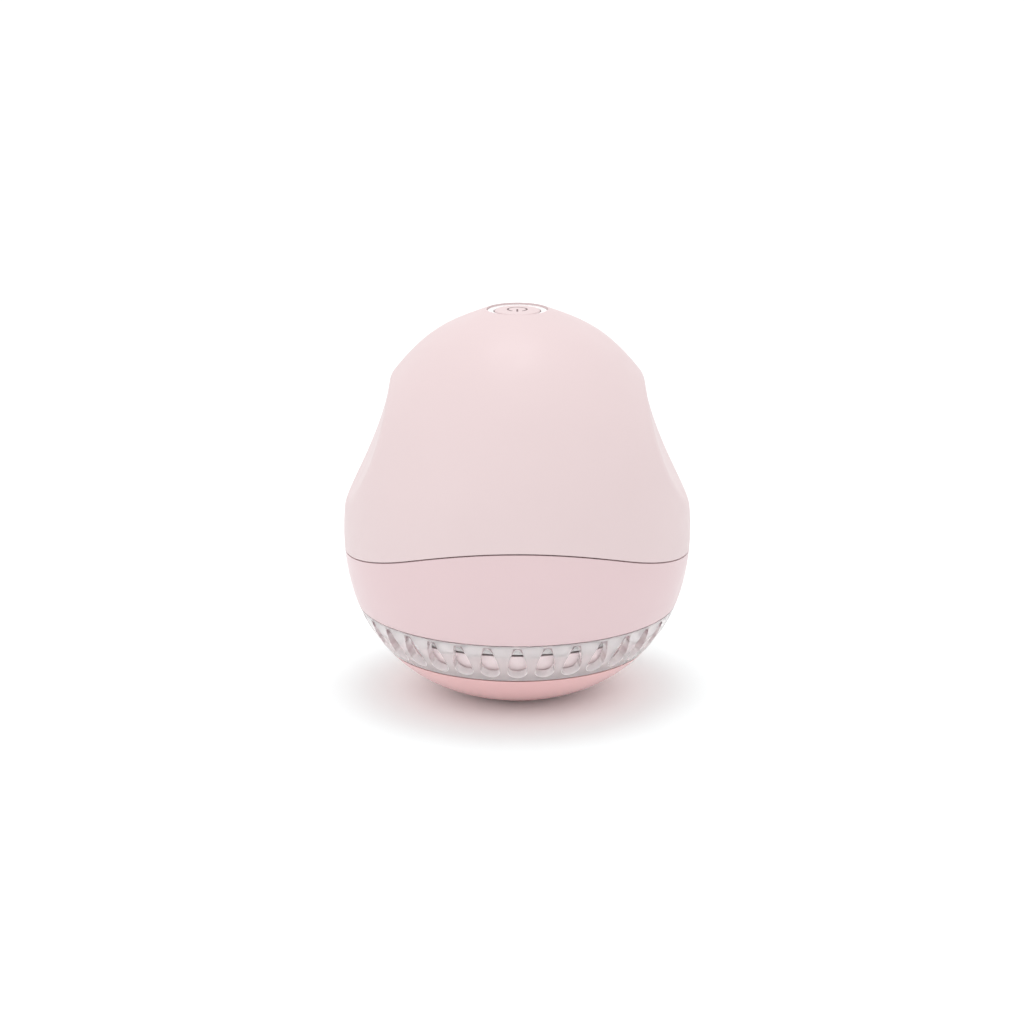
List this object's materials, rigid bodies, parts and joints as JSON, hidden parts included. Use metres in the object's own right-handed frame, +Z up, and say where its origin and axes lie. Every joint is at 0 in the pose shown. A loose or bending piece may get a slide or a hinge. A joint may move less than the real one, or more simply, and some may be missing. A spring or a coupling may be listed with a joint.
{
  "type": "fabric shaver",
  "caption": "Egg-shaped rechargeable fabric shaver with side finger grips, a clear slotted comb ring and foil, a lift-apart lint bowl and a round protective cap to stand on.",
  "frame": {"origin": "centre of the flat foot of the protective cap, where the object stands", "axes": "+Z up along the axis of the egg; the front faces -Y, the charging socket is at the back, the finger grips are at +X and -X"},
  "size_m": [0.076, 0.076, 0.0856],
  "materials": {
    "soft_pink": "soft-touch matte",
    "satin_pink": "satin",
    "gloss_pink": "glossy",
    "clear_plastic": "clear moulded plastic",
    "milky_plastic": "translucent milky",
    "blush_plastic": "fine satin",
    "white_plastic": "moulded",
    "steel_foil": "polished perforated",
    "blade_steel": "ground",
    "shaft_steel": "ground",
    "screw_steel": "zinc plated",
    "motor_steel": "plated",
    "rotor_laminate": "laminated",
    "copper": "bare copper",
    "terminal_brass": "plain",
    "nickel": "nickel strip",
    "cell_sleeve": "shrink sleeve",
    "rubber_grey": "moulded",
    "board_green": "solder mask",
    "chip_black": "epoxy",
    "led_white": "clear epoxy",
    "socket_steel": "drawn",
    "symbol_grey": "printed",
    "plunger_black": "moulded",
    "wire_red": "insulated",
    "wire_black": "insulated",
    "wire_white": "insulated"
  },
  "bodies": {
    "cap": {"cap_shell": "gloss_pink"},
    "lint_bowl": {"lower_shell": "satin_pink", "lint_cup": "milky_plastic"},
    "shaving_head": {"comb_ring": "clear_plastic", "foil_holder": "blush_plastic", "foil_clamp": "blush_plastic", "shaving_foil": "steel_foil"},
    "motor_unit": {"upper_shell": "soft_pink", "chassis": "white_plastic", "bowl_seal": "rubber_grey", "chassis_screws": "screw_steel", "housing_screws": "screw_steel", "main_board_screws": "screw_steel", "socket_board_screws": "screw_steel", "motor_housing": "white_plastic", "motor_can": "motor_steel", "motor_magnets": "rotor_laminate", "motor_end_bell": "chip_black", "motor_terminals": "terminal_brass", "motor_bush": "terminal_brass", "shaft_seal": "rubber_grey", "motor_damper": "rubber_grey", "battery_holder": "white_plastic", "battery_cell": "cell_sleeve", "battery_tabs": "nickel", "main_board": "board_green", "tact_switch": "chip_black", "ring_leds": "led_white", "board_chips": "chip_black", "socket_board": "board_green", "charging_socket": "socket_steel", "light_ring": "milky_plastic", "motor_lead_positive": "wire_red", "motor_lead_negative": "wire_black", "battery_lead_positive": "wire_red", "battery_lead_negative": "wire_black", "charging_lead": "wire_white"},
    "power_button": {"button_cap": "soft_pink", "button_symbol": "symbol_grey", "switch_plunger": "plunger_black"},
    "cutter": {"motor_shaft": "shaft_steel", "rotor_core": "rotor_laminate", "commutator": "copper", "blade_carrier": "white_plastic", "cutter_blades": "blade_steel"}
  },
  "joints": [
    {"name": "lift_off_cap", "type": "slide", "parent": "cap", "child": "lint_bowl", "axis": [0, 0, 1], "range_m": [0, 0.03]},
    {"name": "open_lint_bowl", "type": "slide", "parent": "lint_bowl", "child": "motor_unit", "axis": [0, 0, 1], "range_m": [0, 0.05]},
    {"name": "twist_shaving_head", "type": "hinge", "parent": "lint_bowl", "child": "shaving_head", "pos_m": [0, 0, 0.0205], "axis": [0, 0, 1], "range_deg": [0, 35]},
    {"name": "press_power_button", "type": "slide", "parent": "motor_unit", "child": "power_button", "axis": [0, 0, -1], "range_m": [0, 0.0005], "stiffness_N_per_m": 2500},
    {"name": "spin_cutter", "type": "hinge", "parent": "motor_unit", "child": "cutter", "pos_m": [0, 0, 0.014], "axis": [0, 0, 1], "continuous": true}
  ]
}
